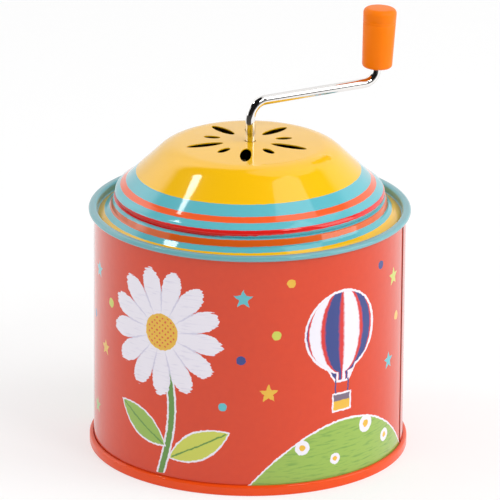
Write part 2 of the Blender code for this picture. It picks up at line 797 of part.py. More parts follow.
def carrier():
    """Plastic disc that snaps into the lid's bead, with windows that let the sound up."""
    profile = [
        (CARRIER_HOLE_RADIUS, CARRIER_TOP),
        (CARRIER_RADIUS - CARRIER_CHAMFER, CARRIER_TOP),
        (CARRIER_RADIUS, CARRIER_TOP - CARRIER_CHAMFER),
        (CARRIER_RADIUS, CARRIER_FOOT + CARRIER_CHAMFER),
        (CARRIER_RADIUS - CARRIER_CHAMFER, CARRIER_FOOT),
        (CARRIER_HOLE_RADIUS, CARRIER_FOOT),
        (CARRIER_HOLE_RADIUS, CARRIER_TOP),
    ]
    disc = turned("carrier_disc", profile, CAN_STEPS)
    depth = 3 * CARRIER_THICKNESS
    low = BEAD_HEIGHT - depth / 2
    circle_radius = CARRIER_RADIUS - WINDOW_INSET
    windows = []
    for i in range(WINDOW_COUNT):
        angle = 2 * math.pi * (i + 0.5) / WINDOW_COUNT
        windows.append(at(circle_radius * math.cos(angle), circle_radius * math.sin(angle), low))
    window = rod("window", WINDOW_RADIUS, depth, 2 * SMALL_STEPS)
    disc = cut(disc, repeated("sound_windows", window, windows))
    drill = rod("carrier_drill", SCREW_HOLE, depth)
    holes = repeated("carrier_holes", drill, [at(x, y, low) for x, y in MOVEMENT_SCREWS])
    piece(cut(disc, holes), black_plastic)


def bedplate():
    """Cast plate of the movement, with the crank shaft's boss and the comb's ledge below it."""
    left = LEFT_LEG - STRIP - FOOT_LENGTH
    right = RIGHT_LEG + STRIP + FOOT_LENGTH
    back = WORM_BRACKET_OFFSET + STRIP + FOOT_LENGTH + GAP
    waist = AXIS_Y - BRACKET_WIDTH / 2 - BEDPLATE_MARGIN
    wheel_side = waist - BEDPLATE_MARGIN
    outline = [
        (left, wheel_side),
        (COMB_LEFT - GAP, wheel_side),
        (COMB_LEFT - GAP, COMB_BACK),
        (COMB_RIGHT + GAP, COMB_BACK),
        (COMB_RIGHT + GAP, waist),
        (right, waist),
        (right, AXIS_Y + BRACKET_WIDTH / 2 + BEDPLATE_MARGIN),
        (BRACKET_WIDTH, back / 2),
        (BRACKET_WIDTH, back),
        (left, back),
    ]
    plate = flat("bedplate", [rounded(outline, BEDPLATE_CORNER, 2)], BEDPLATE_THICKNESS)
    plate.data.transform(at(0.0, 0.0, BEDPLATE_FOOT))

    boss_foot = AXIS_Z + WORM_LENGTH / 2 + GAP
    half = BEDPLATE_THICKNESS / 2
    boss = rod("shaft_boss", BOSS_RADIUS, BEDPLATE_FOOT + half - boss_foot, 2 * SMALL_STEPS)
    boss.data.transform(at(0.0, 0.0, boss_foot))
    ledge = box(
        "comb_ledge",
        (COMB_LEFT + 2 * GAP, COMB_BACK + 3 * GAP, LEDGE_FOOT),
        (COMB_RIGHT - 2 * GAP, COMB_BACK + LEDGE_DEPTH, BEDPLATE_FOOT + half),
    )
    shaft_drill = rod("shaft_drill", SHAFT_RADIUS + GAP, BEDPLATE_TOP - boss_foot + 2 * half)
    shaft_drill.data.transform(at(0.0, 0.0, boss_foot - half))
    screw_drill = rod("screw_drill", SCREW_HOLE, 2 * BEDPLATE_THICKNESS)
    through = [at(x, y, BEDPLATE_FOOT - half) for x, y in MOVEMENT_SCREWS + BRACKET_SCREWS]
    comb_drill = rod("comb_drill", SCREW_HOLE, COMB_THICKNESS + SCREW_GRIP + GAP)
    places = [at(x, y, LEDGE_FOOT - COMB_THICKNESS) for x, y in COMB_SCREWS]
    plate = join(join(plate, boss), ledge)
    plate = cut(plate, shaft_drill)
    plate = cut(plate, repeated("bedplate_screw_holes", screw_drill, through))
    piece(cut(plate, repeated("comb_screw_holes", comb_drill, places)), zinc)


def strip_bracket(name, outline, width):
    """A strip bent along an outline in the XZ plane, as wide as given, centred on y = 0."""
    bent = flat(name, [outline], width)
    bent.data.transform(about("X", math.pi / 2) @ at(0.0, 0.0, -width / 2))
    return bent


def drill_strip(bent, name, radius, direction, place):
    """A hole through a bracket, drilled along an axis."""
    depth = 4 * STRIP
    drill = rod(name, radius, depth)
    turn = Matrix.Identity(4) if direction == "Z" else about("Y", math.pi / 2)
    drill.data.transform(at(*place) @ turn @ at(0.0, 0.0, -depth / 2))
    return cut(bent, drill)


def brackets():
    """Bent strips that hang from the bedplate: two carry the arbor, one the foot of the shaft."""
    low = AXIS_Z - BRACKET_BELOW_AXIS
    for name, leg, side in (("arbor_bracket_left", LEFT_LEG, -1), ("arbor_bracket_right", RIGHT_LEG, 1)):
        outer = leg + side * STRIP
        outline = [
            (leg, low),
            (leg, STRIP_TOP),
            (outer + side * FOOT_LENGTH, STRIP_TOP),
            (outer + side * FOOT_LENGTH, STRIP_TOP - STRIP),
            (outer, STRIP_TOP - STRIP),
            (outer, low),
        ]
        bent = strip_bracket(name, outline, BRACKET_WIDTH)
        bent.data.transform(at(0.0, AXIS_Y, 0.0))
        middle = leg + side * STRIP / 2
        bent = drill_strip(bent, name + "_bearing", ARBOR_RADIUS + GAP, "X", (middle, AXIS_Y, AXIS_Z))
        hole = (outer + side * FOOT_LENGTH / 2, AXIS_Y, STRIP_TOP)
        piece(drill_strip(bent, name + "_hole", SCREW_HOLE, "Z", hole), zinc)

    inner = WORM_BRACKET_OFFSET
    outer = inner + STRIP
    low = AXIS_Z - WORM_FOOT_BELOW_AXIS
    outline = [
        (-WORM_FOOT_PAST_SHAFT, low),
        (inner, low),
        (inner, STRIP_TOP),
        (outer + FOOT_LENGTH, STRIP_TOP),
        (outer + FOOT_LENGTH, STRIP_TOP - STRIP),
        (outer, STRIP_TOP - STRIP),
        (outer, low - STRIP),
        (-WORM_FOOT_PAST_SHAFT, low - STRIP),
    ]
    bent = strip_bracket("worm_bracket", outline, BRACKET_WIDTH)
    bent.data.transform(about("Z", math.pi / 2))
    bent = drill_strip(bent, "worm_bearing", SHAFT_RADIUS + GAP, "Z", (0.0, 0.0, low))
    hole = (0.0, outer + FOOT_LENGTH / 2, STRIP_TOP)
    piece(drill_strip(bent, "worm_bracket_hole", SCREW_HOLE, "Z", hole), zinc)


def screws(name, places, head_level, grip, head_up):
    """Pan-head screws whose heads rest at one level, pointing down or up."""
    edge = SCREW_HEAD_HEIGHT / 3
    profile = [
        (0.0, SCREW_HEAD_HEIGHT),
        (SCREW_HEAD_RADIUS - edge, SCREW_HEAD_HEIGHT),
        (SCREW_HEAD_RADIUS, SCREW_HEAD_HEIGHT - edge),
        (SCREW_HEAD_RADIUS, 0.0),
        (SCREW_RADIUS, 0.0),
        (SCREW_RADIUS, -grip),
        (0.0, -grip),
    ]
    turn = Matrix.Identity(4) if head_up else about("X", math.pi)
    pattern = turned("screw", profile, SMALL_STEPS)
    alike(name, pattern, [at(x, y, head_level) @ turn for x, y in places], spring_steel)


def fasteners():
    """Screws through the carrier, the brackets and the comb, each a gap clear of its seat."""
    through_carrier = CARRIER_THICKNESS + 2 * GAP + BEDPLATE_THICKNESS
    screws("movement_screw", MOVEMENT_SCREWS, CARRIER_TOP + GAP, through_carrier, True)
    through_strip = STRIP + 2 * GAP + SCREW_GRIP
    screws("bracket_screw", BRACKET_SCREWS, STRIP_TOP - STRIP - GAP, through_strip, False)
    through_comb = COMB_THICKNESS + GAP + SCREW_GRIP
    screws("comb_screw", COMB_SCREWS, COMB_TOP - COMB_THICKNESS - GAP, through_comb, False)


for old in list(bpy.data.objects):
    bpy.data.objects.remove(old)

parts = new_collection("music_box")
cutters = new_collection("music_box_cutters")

red_lacquer = finish("red_lacquer", (0.68, 0.08, 0.045), 0.3, 0.0)
orange_lacquer = finish("orange_lacquer", (0.86, 0.1, 0.01), 0.3, 0.0)
yellow_lacquer = finish("yellow_lacquer", (0.95, 0.52, 0.01), 0.3, 0.0)
orange_plastic = finish("orange_plastic", (0.9, 0.19, 0.0), 0.35, 0.0)
black_plastic = finish("black_plastic", (0.02, 0.02, 0.02), 0.5, 0.0)
white_plastic = finish("white_plastic", (0.8, 0.79, 0.75), 0.4, 0.0)
bright_steel = finish("bright_steel", (0.75, 0.75, 0.76), 0.12, 1.0)
spring_steel = finish("spring_steel", (0.55, 0.56, 0.58), 0.3, 1.0)
brass = finish("brass", (0.72, 0.5, 0.2), 0.3, 1.0)
zinc = finish("zinc", (0.6, 0.61, 0.62), 0.5, 1.0)

crank_axis = empty("crank_axis", (0.0, 0.0, 0.0))
drum_axis = empty("drum_axis", (0.0, AXIS_Y, AXIS_Z), (0.0, math.pi / 2, 0.0))

can()
crank()
crank_shaft()
drum()
comb()
carrier()
bedplate()
brackets()
fasteners()
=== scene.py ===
"""Looks of a hand-cranked tin music box, in metres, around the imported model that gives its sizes."""
import json
import math

import bmesh
import bpy
from mathutils import Matrix, Vector


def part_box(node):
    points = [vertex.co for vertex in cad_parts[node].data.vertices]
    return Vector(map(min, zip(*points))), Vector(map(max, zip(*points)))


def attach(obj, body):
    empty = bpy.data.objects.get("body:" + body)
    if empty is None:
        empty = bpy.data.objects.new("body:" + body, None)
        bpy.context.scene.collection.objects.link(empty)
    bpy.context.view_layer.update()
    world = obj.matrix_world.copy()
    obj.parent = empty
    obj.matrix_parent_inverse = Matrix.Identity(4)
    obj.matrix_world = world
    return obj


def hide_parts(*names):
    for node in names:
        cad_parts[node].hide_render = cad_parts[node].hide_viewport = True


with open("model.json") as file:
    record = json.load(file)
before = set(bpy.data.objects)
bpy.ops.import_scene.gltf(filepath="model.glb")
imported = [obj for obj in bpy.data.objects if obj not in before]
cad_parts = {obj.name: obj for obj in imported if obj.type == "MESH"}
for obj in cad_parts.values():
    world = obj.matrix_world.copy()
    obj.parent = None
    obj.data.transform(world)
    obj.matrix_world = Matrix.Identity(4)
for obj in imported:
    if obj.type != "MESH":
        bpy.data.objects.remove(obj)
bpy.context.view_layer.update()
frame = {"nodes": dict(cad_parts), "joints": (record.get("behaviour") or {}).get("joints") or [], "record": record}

# Camera
# It stands far off with a long lens, a little above the lid, in front of the can.
# It leans by half a degree, as the picture of the can does.
view_target = Vector((0.00014, 0.0, 0.0553))
view_distance = 1.6
view_elevation = math.radians(19.0)
view_roll = math.radians(0.45)
camera = bpy.data.objects.new("camera", bpy.data.cameras.new("camera"))
camera.data.lens = 420.1
camera.data.sensor_width = 36.0
away = Vector((0.0, -math.cos(view_elevation), math.sin(view_elevation)))
camera.location = view_target + away * view_distance
facing = away.to_track_quat("Z", "Y").to_matrix().to_4x4()
camera.matrix_world = Matrix.Translation(camera.location) @ facing @ Matrix.Rotation(view_roll, 4, "Z")
bpy.context.scene.collection.objects.link(camera)
bpy.context.scene.camera = camera
bpy.context.scene.view_settings.view_transform = "Standard"


# Can body
# A sheet of tinplate rolled into a tube and lapped at one side seam. It is printed flat, in orange
# red with a child's picture of flowers, a balloon and a hill, and clear lacquer lies over the print.
sheet = 0.0003
gap = 0.0003
body_radius = 0.0427
body_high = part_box("body_shell")[1]
floor_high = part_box("base_plate")[1]
rim_top = body_high.z + sheet + gap
seam_height = 0.0028
fold = 0.0003
can_steps = 192
lap_azimuth = math.radians(-9.5)
lap_width = 0.0044
lap_rise = 0.0002
millimetre = 1000.0


class Tone:
    """A socket in a recipe, which sums and products can be written with."""

    def __init__(self, recipe, socket):
        self.recipe = recipe
        self.socket = socket

    def maths(self, operation, *values):
        return self.recipe.node("ShaderNodeMath", {"operation": operation}, dict(enumerate(values)))

    def __add__(self, other):
        return self.maths("ADD", self, other)

    def __radd__(self, other):
        return self.maths("ADD", other, self)

    def __sub__(self, other):
        return self.maths("SUBTRACT", self, other)

    def __rsub__(self, other):
        return self.maths("SUBTRACT", other, self)

    def __mul__(self, other):
        return self.maths("MULTIPLY", self, other)

    def __rmul__(self, other):
        return self.maths("MULTIPLY", other, self)

    def __truediv__(self, other):
        return self.maths("DIVIDE", self, other)

    def __rtruediv__(self, other):
        return self.maths("DIVIDE", other, self)

    def __neg__(self):
        return self.maths("MULTIPLY", self, -1.0)

    def __abs__(self):
        return self.maths("ABSOLUTE", self)

    def root(self):
        return self.maths("SQRT", self)

    def sine(self):
        return self.maths("SINE", self)

    def wrapped(self, low, high):
        return self.maths("WRAP", self, high, low)

    def least(self, other):
        return self.maths("MINIMUM", self, other)

    def most(self, other):
        return self.maths("MAXIMUM", self, other)

    def held(self):
        """The value kept between 0 and 1."""
        return self.most(0.0).least(1.0)


class Recipe:
    """The shader of one finish, with what is the same all over it set on the shader's own sockets."""

    def __init__(self, owner, shader, sockets):
        owner.use_nodes = True
        self.owner = owner
        self.tree = owner.node_tree
        self.shader = self.tree.nodes[shader]
        for name, value in sockets.items():
            self.drive(name, value)

    def put(self, socket, value):
        if isinstance(value, Tone):
            self.tree.links.new(value.socket, socket)
        else:
            socket.default_value = value

    def drive(self, name, value):
        self.put(self.shader.inputs[name], value)

    def node(self, kind, settings, values, output=0):
        """Any node, with its settings made before its sockets are filled."""
        made = self.tree.nodes.new(kind)
        for name, value in settings.items():
            setattr(made, name, value)
        for name, value in values.items():
            self.put(made.inputs[name], value)
        return Tone(self, made.outputs[output])

    def mixed(self, share, under, over):
        """One colour painted over another where the share is 1."""
        return self.node("ShaderNodeMix", {"data_type": "RGBA"}, {0: share, 6: under, 7: over}, 2)

    def place(self):
        """Millimetres along X, Y and Z in the piece's own space."""
        spot = self.node("ShaderNodeTexCoord", {}, {}, "Object")
        apart = self.node("ShaderNodeSeparateXYZ", {}, {0: spot})
        x, y, z = [Tone(self, socket) for socket in apart.socket.node.outputs]
        return x * millimetre, y * millimetre, z * millimetre

    def point(self, x, y, z):
        return self.node("ShaderNodeCombineXYZ", {}, {0: x, 1: y, 2: z})

    def noise(self, where, scale, detail=2.0):
        return self.node("ShaderNodeTexNoise", {}, {"Vector": where, "Scale": scale, "Detail": detail})

    def bump(self, height, strength, distance):
        values = {"Height": height, "Strength": strength, "Distance": distance}
        self.drive("Normal", self.node("ShaderNodeBump", {}, values))


def paint(red, green, blue):
    """A colour given in the 0 to 255 steps of a screen, as light."""
    levels = [value / 255 for value in (red, green, blue)]
    return (*[v / 12.92 if v < 0.04045 else ((v + 0.055) / 1.055) ** 2.4 for v in levels], 1.0)


def finish(name, sockets):
    return Recipe(bpy.data.materials.new(name), "Principled BSDF", sockets)


def length_of(a, b):
    return (a * a + b * b).root()


def edge(inside, softness=0.12):
    """1 where a distance in millimetres is above 0, with a soft step of a tenth of a millimetre."""
    return (inside / softness + 0.5).held()


def arc(centre, radius, start, end, steps):
    """Points of a circular arc between two angles in degrees."""
    angles = [math.radians(start + (end - start) * i / steps) for i in range(steps + 1)]
    return [(centre[0] + radius * math.cos(a), centre[1] + radius * math.sin(a)) for a in angles]


def softened(corners, steps=5):
    """A line of (radius, height, rounding) corners, where each rounding is an arc."""
    line = []
    for i, (x, y, rounding) in enumerate(corners):
        corner = Vector((x, y))
        if not rounding:
            line.append((x, y))
            continue
        to_before = (Vector(corners[i - 1][:2]) - corner).normalized()
        to_after = (Vector(corners[i + 1][:2]) - corner).normalized()
        half = to_before.angle(to_after) / 2
        centre = corner + (to_before + to_after).normalized() * (rounding / math.sin(half))
        first = corner + to_before * (rounding / math.tan(half)) - centre
        last = corner + to_after * (rounding / math.tan(half)) - centre
        turn = math.atan2(first.x * last.y - first.y * last.x, first.dot(last))
        line += [tuple(centre + Matrix.Rotation(turn * k / steps, 2) @ first) for k in range(steps + 1)]
    return line


def settled(obj, merge=0.000002, crease=32.0):
    """The object as a plain mesh of its evaluated shape, welded, with smooth faces and sharp edges."""
    bpy.context.view_layer.update()
    graph = bpy.context.evaluated_depsgraph_get()
    mesh = bpy.data.meshes.new_from_object(obj.evaluated_get(graph))
    shape = bmesh.new()
    shape.from_mesh(mesh)
    bmesh.ops.remove_doubles(shape, verts=shape.verts, dist=merge)
    shape.to_mesh(mesh)
    shape.free()
    mesh.shade_smooth()
    mesh.set_sharp_from_angle(angle=math.radians(crease))
    made = bpy.data.objects.new("settled", mesh)
    made.matrix_world = obj.matrix_world
    bpy.context.scene.collection.objects.link(made)
    name = obj.name
    bpy.data.objects.remove(obj)
    made.name = name
    return made


def turned(name, profile, steps, thickness=0.0, angle=2 * math.pi):
    """A profile of (radius, height) points turned about Z, with its visible side on the outside."""
    mesh = bpy.data.meshes.new(name)
    edges = [(i, i + 1) for i in range(len(profile) - 1)]
    mesh.from_pydata([(radius, 0.0, height) for radius, height in profile], edges, [])
    obj = bpy.data.objects.new(name, mesh)
    bpy.context.scene.collection.objects.link(obj)
    turn = obj.modifiers.new("turn", "SCREW")
    turn.angle = angle
    turn.steps = steps
    turn.render_steps = steps
    turn.use_merge_vertices = True
    turn.merge_threshold = 0.000002
    if thickness:
        thicken = obj.modifiers.new("thicken", "SOLIDIFY")
        thicken.thickness = thickness
        thicken.offset = -1.0
        thicken.use_even_offset = True
        thicken.material_offset = 1
        thicken.material_offset_rim = 1
        for side in ("printed", "bare"):
            mesh.materials.append(None)
    return settled(obj)


def combined(obj, other, operation):
    """One solid cut by another, or joined with it."""
    change = obj.modifiers.new("change", "BOOLEAN")
    change.operation = operation
    change.solver = "EXACT"
    change.object = other
    made = settled(obj)
    bpy.data.objects.remove(other)
    return made


def seat(obj, body, look, inside=None):
    """Gives a finished piece its material, an inside material if one is given, and the body that it moves with."""
    obj.data.materials.clear()
    obj.data.materials.append(look.owner)
    if inside:
        obj.data.materials.append(inside.owner)
    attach(obj, body)
    return obj


# Tinplate has a fine grain of crystals and a warm tint from its inner varnish.
tin = finish("bare_tinplate_inside", {"Metallic": 1.0, "Base Color": paint(196, 184, 160)})
tin_x, tin_y, tin_z = tin.place()
tin_grain = tin.noise(tin.point(tin_x, tin_y, tin_z), 0.35, 4.0)
tin.drive("Roughness", 0.24 + tin_grain * 0.2)

lacquer = {"Roughness": 0.35, "Specular IOR Level": 0.1, "Coat Weight": 1.0, "Coat Roughness": 0.065}
printed = finish("printed_red_lacquer", lacquer)
x, y, z = printed.place()
spot = printed.point(x, y, z)
half_turn = math.pi * body_radius * millimetre
azimuth = x.maths("ARCTAN2", x, -y)
along = azimuth * (body_radius * millimetre)
brush_wander = 0.7
wobble = printed.noise(spot, 0.9, 3.0)
wobble_up = printed.noise(printed.point(x + 40.0, y, z), 0.9, 3.0)
u = along.wrapped(-half_turn / 2, half_turn / 2) + (wobble - 0.5) * brush_wander
v = z + (wobble_up - 0.5) * brush_wander
streaks = printed.noise(printed.point(along * 0.25, z * 2.2, 0.0), 0.8, 5.0)
dabs = printed.noise(printed.point(along, z, 7.0), 0.55, 6.0)

body_red = paint(217, 60, 10)
deep_red = paint(201, 47, 6)
chalk = paint(238, 234, 244)
chalk_shade = paint(206, 202, 224)
leaf_green = paint(150, 184, 78)
dark_green = paint(98, 146, 62)
lime = paint(202, 208, 84)
ochre = paint(232, 182, 56)
navy = paint(46, 62, 132)
turquoise = paint(92, 186, 196)
coral = paint(214, 42, 38)

colour = printed.mixed((dabs * 1.6 - 0.5).held() * 0.3, body_red, deep_red)


def dotted(colour, where, radius, tint):
    """A round dab of paint."""
    inside = radius - length_of(u - where[0], v - where[1])
    return printed.mixed(edge(inside), colour, tint)


def starred(colour, where, radius, tint, points=5, notch=0.45):
    """A star with straight sides between its tips and its notches."""
    a, b = u - where[0], v - where[1]
    step = math.pi / points
    turn = abs(a.maths("ARCTAN2", a, b).wrapped(-step, step))
    notch_radius = radius * notch
    side = radius * notch_radius * math.sin(step)
    reach = side / (turn.sine() * radius + (step - turn).sine() * notch_radius)
    return printed.mixed(edge(reach - length_of(a, b)), colour, tint)


def leafed(colour, where, angle, size, tint, vein):
    """A pointed leaf with a vein along its middle."""
    a, b = u - where[0], v - where[1]
    lengthways = a * math.cos(angle) + b * math.sin(angle)
    across = abs(b * math.cos(angle) - a * math.sin(angle))
    share = lengthways / (size[0] / 2)
    width = (1 - share * share) * (size[1] / 2)
    colour = printed.mixed(edge(width - across + 0.5), colour, chalk)
    colour = printed.mixed(edge(width - across), colour, tint)
    return printed.mixed(edge(0.22 - across) * edge(width - across - 0.3), colour, vein)


# A hill at the foot on the right, with a chalk outline and brushed strokes
hill_place, hill_half, hill_top = 29.0, 28.0, 15.5
hill_share = (u - hill_place) / hill_half
hill_line = (1 - hill_share * hill_share) * hill_top + 3.0
colour = printed.mixed(edge(hill_line - v + 0.6), colour, chalk)
colour = printed.mixed(edge(hill_line - v), colour, leaf_green)
hill_strokes = edge(hill_line - v - 0.3) * ((streaks - 0.52) * 7.0).held()
colour = printed.mixed(hill_strokes * 0.6, colour, dark_green)
for place, size in (((15.0, 12.6), 2.1), ((36.0, 15.6), 2.5), ((45.0, 9.6), 1.9), ((25.0, 8.0), 1.6)):
    colour = dotted(colour, place, size, chalk)
    colour = dotted(colour, place, size * 0.42, ochre)

# A tall daisy on the left, on a bent stem with leaves
daisy = (-25.0, 44.0)
stem_bend, stem_half, stem_foot = 3.4, 0.85, 3.5
stem = daisy[0] + stem_bend * ((v - 4.0) * 0.085).sine()
stem_height = edge(daisy[1] - v) * edge(v - stem_foot)
colour = printed.mixed(edge(stem_half + 0.55 - abs(u - stem)) * stem_height, colour, chalk)
colour = printed.mixed(edge(stem_half - abs(u - stem)) * stem_height, colour, dark_green)
colour = leafed(colour, (-31.5, 16.5), math.radians(148.0), (18.0, 6.8), leaf_green, dark_green)
colour = leafed(colour, (-13.8, 13.0), math.radians(28.0), (19.0, 7.2), lime, dark_green)
petals = 13
petal_root, petal_length, petal_fray = 10.5, 7.5, 3.0
eye_radius = 5.2
seed_waves = 3.6
a, b = u - daisy[0], v - daisy[1]
daisy_distance = length_of(a, b)
daisy_turn = a.maths("ARCTAN2", a, b)
petal = abs((daisy_turn * (petals / 2)).sine())
petal_edge = petal_root + petal_length * petal.root() + (streaks - 0.5) * petal_fray
colour = printed.mixed(edge(petal_edge - daisy_distance), colour, chalk)
petal_lines = edge(0.16 - petal, 0.1) * edge(daisy_distance - 6.0, 3.0) * edge(petal_edge - daisy_distance)
colour = printed.mixed(petal_lines * 0.8, colour, chalk_shade)
petal_dabs = ((streaks - 0.56) * 8.0).held() * edge(petal_edge - daisy_distance)
colour = printed.mixed(petal_dabs * 0.45, colour, chalk_shade)
colour = dotted(colour, daisy, eye_radius, ochre)
seeds = (a * seed_waves).sine() * (b * seed_waves).sine()
in_eye = edge(eye_radius - 0.6 - daisy_distance)
colour = printed.mixed(edge(seeds - 0.5, 0.3) * in_eye * 0.8, colour, coral)

# A striped balloon on the right, with its basket
balloon, balloon_radius = (27.0, 44.5), 11.0
a, b = u - balloon[0], v - balloon[1]
taper = b * 0.62 + balloon_radius * 0.98 - abs(a)
skirt = taper.least(b + balloon_radius * 1.28).least(-b - 3.0)
envelope = (balloon_radius - length_of(a, b)).most(skirt)
gore = a / (balloon_radius * balloon_radius - b * b * 0.82).most(4.0).root()
bands = (gore.maths("ARCSINE", gore.most(-0.99).least(0.99)) * 5.0).sine()
colour = printed.mixed(edge(envelope + 0.65), colour, chalk)
colour = printed.mixed(edge(envelope), colour, coral)
colour = printed.mixed(edge(envelope) * edge(bands - 0.25, 0.3), colour, chalk)
colour = printed.mixed(edge(envelope) * edge(-bands - 0.45, 0.3), colour, navy)
basket = (2.7 - abs(a)).least(2.2 - abs(b + 20.4))
ropes = (0.22 - abs(abs(a) - 2.1)).least(-b - 14.0).least(b + 18.6)
colour = printed.mixed(edge(ropes), colour, navy)
colour = printed.mixed(edge(basket + 0.5), colour, chalk)
colour = printed.mixed(edge(basket), colour, ochre)
colour = printed.mixed(edge(basket) * edge(1.0 - abs(b + 19.0)) * 0.8, colour, navy)

# Stars and dots strewn between them
for place, size, tint in (
    ((-54.0, 54.0), 2.7, turquoise),
    ((-49.0, 33.0), 2.4, ochre),
    ((-56.0, 14.0), 2.6, leaf_green),
    ((-1.5, 56.0), 2.8, turquoise),
    ((5.5, 29.0), 2.8, ochre),
    ((49.5, 54.0), 2.7, lime),
    ((47.0, 30.5), 2.6, turquoise),
):
    colour = starred(colour, place, size, tint)
for place, size, tint in (
    ((-58.0, 40.0), 1.2, navy),
    ((-45.5, 47.0), 1.3, lime),
    ((-2.0, 38.5), 1.3, navy),
    ((7.5, 45.5), 1.3, lime),
    ((-7.0, 25.0), 1.2, turquoise),
    ((11.5, 60.0), 1.2, ochre),
    ((42.0, 59.5), 1.2, navy),
    ((52.0, 42.0), 1.3, ochre),
):
    colour = dotted(colour, place, size, tint)

# The seam is free of print for its width, with a dark line where the lap ends
lap_distance = abs(azimuth - (lap_azimuth + math.pi / 2)) * (body_radius * millimetre)
lap_half = lap_width * millimetre / 2
colour = printed.mixed(edge(lap_half + 0.25 - lap_distance), colour, body_red)
colour = printed.mixed(edge(0.16 - abs(lap_distance - lap_half)) * 0.7, colour, paint(110, 34, 26))
printed.drive("Base Color", colour)
printed.bump(printed.noise(spot, 0.35, 2.0), 0.12, 0.0004)

rim_level = rim_top - 2 * sheet - gap
foot_level = 2 * sheet + gap
hook_radius = body_radius + 0.0009
foot_hook_radius = body_radius + 0.0006
body_line = softened([
    (hook_radius, rim_level, 0.0),
    (body_radius, rim_level, fold),
    (body_radius, foot_level, fold),
    (foot_hook_radius, foot_level, 0.0),
])
body = turned("printed_body", body_line, can_steps, sheet)
lap_line = [
    (body_radius + lap_rise, rim_level - 0.0009),
    (body_radius + lap_rise, seam_height + gap),
]
lap_angle = lap_width / body_radius
lap = turned("lap", lap_line, 8, lap_rise + sheet / 2, lap_angle)
lap.data.transform(Matrix.Rotation(lap_azimuth - lap_angle / 2, 4, "Z"))
body = combined(body, lap, "UNION")
seat(body, "housing", printed, tin)
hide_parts("body_shell")

# Floor
# A pressed tinplate pan in orange lacquer. Its edge is rolled round the foot of the body in a double
# seam, which is the ring that the can stands on.
foot_radius = floor_high.x
chuck_radius = body_radius - 2 * sheet - gap
floor_recess = 0.0029
floor_line = softened([
    (body_radius + 0.00012, seam_height - 0.00012, 0.0),
    (body_radius + 0.0003, seam_height, 0.0),
    (foot_radius, seam_height, 0.0006),
    (foot_radius, 0.0, 0.0003),
    (chuck_radius, 0.0, 0.0003),
    (chuck_radius, floor_recess, 0.0006),
    (0.0, floor_recess, 0.0),
])
orange = finish("orange_lacquer", {**lacquer, "Coat Weight": 0.5})
x, y, z = orange.place()
spot = orange.point(x, y, z)
smudges = (orange.noise(spot, 0.12, 3.0) * 1.4 - 0.4).held() * 0.4
orange.drive("Base Color", orange.mixed(smudges, paint(240, 78, 10), paint(224, 64, 8)))
orange.bump(orange.noise(spot, 0.5, 2.0), 0.1, 0.0003)
pan = turned("floor_pan", floor_line, can_steps, sheet)
seat(pan, "housing", orange, tin)
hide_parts("base_plate")

# Lid
# One pressed tinplate sheet: a dome with a nearly flat top, a bead that the movement's carrier snaps
# behind, and a gutter whose edge curls over the body. Its rings and slots lie a little off centre.
lid_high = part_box("lid")[1]
rim_radius = lid_high.x
lid_top = lid_high.z
wire_radius = 0.00135
plateau_fall = math.tan(math.radians(2.0))
cone_slope = math.tan(math.radians(43.8))
cone_foot = (body_radius - 0.0085, rim_top + 0.0068)
bead_roll = 0.0016
bead_centre = (body_radius - 0.0058 - bead_roll, rim_top + 0.0041)
bead_foot = (body_radius - 0.0054, rim_top + 0.0026)
gutter_inner = (body_radius - 0.0048, rim_top + 0.0005)
gutter_outer = (body_radius - 0.0033, rim_top - 0.0008)
gutter_depth = 0.0023
shoulder_rounding = 0.01
hole_radius = 0.00155
cone_height = cone_foot[1] + cone_slope * cone_foot[0]
shoulder = (cone_height - lid_top) / (cone_slope - plateau_fall)
curl = 0.00075
lid_line = softened([
    (hole_radius, lid_top - plateau_fall * hole_radius, 0.0),
    (shoulder, lid_top - plateau_fall * shoulder, shoulder_rounding),
    (*cone_foot, 0.0006),
    *[(*place, 0.0) for place in arc(bead_centre, bead_roll, 48.0, -50.0, 12)],
    (*bead_foot, 0.0002),
    (*gutter_inner, 0.0006),
    (*gutter_outer, 0.0006),
    (chuck_radius, rim_top - gutter_depth, 0.0003),
    *[(*place, 0.0) for place in arc((chuck_radius + curl, rim_top - curl), curl, 180.0, 90.0, 8)],
    *[(*place, 0.0) for place in arc((rim_radius - curl, rim_top - curl), curl, 90.0, -90.0, 14)],
    (body_radius + 0.00015, rim_top - 2 * curl, 0.0),
], 10)

yellow = paint(250, 192, 0)
teal = paint(96, 186, 198)
# A greyer teal for the rim curl: painted shade and painted dark reflection on the curl's face, not a paint of its
# own.
rim_shade_teal = paint(110, 172, 180)
rim_print_radius = 41.46
rim_shade_radius = 42.4
stripe_orange = paint(247, 96, 42)
stripe_red = paint(230, 26, 22)
low_orange = paint(230, 96, 14)
ringed = finish("ringed_lacquer", lacquer)
x, y, z = ringed.place()
spot = ringed.point(x, y, z)
print_offset = (-0.8, 0.5)

# Each ring starts at a step of the distance from the axis less the height, which grows down the lid
across = length_of(x - print_offset[0], y - print_offset[1]) - z + (ringed.noise(spot, 0.7, 2.0) - 0.5) * 0.35
rings = yellow
for ring_edge, tint in (
    (-47.62, teal),
    (-42.33, stripe_orange),
    (-39.6, teal),
    (-36.27, stripe_red),
    (-34.56, teal),
    (-33.15, low_orange),
    (-30.85, teal),
    (-28.3, yellow),
):
    rings = ringed.mixed(edge(across - ring_edge), rings, tint)
rings = ringed.mixed(edge(length_of(x, y) - rim_print_radius), rings, teal)
# Past this radius the curl's top and outer face take the greyer teal, which is painted shade and painted dark
# reflection.
rings = ringed.mixed(edge(length_of(x, y) - rim_shade_radius, 0.5), rings, rim_shade_teal)
ringed.drive("Base Color", rings)
ringed.bump(ringed.noise(spot, 0.3, 2.0), 0.12, 0.0004)

slot_pairs = 5
slot_twist = math.radians(-2.1)
long_slot = (0.0068, 0.0172, 0.0031)
short_slot = (0.0079, 0.0127, 0.0023)


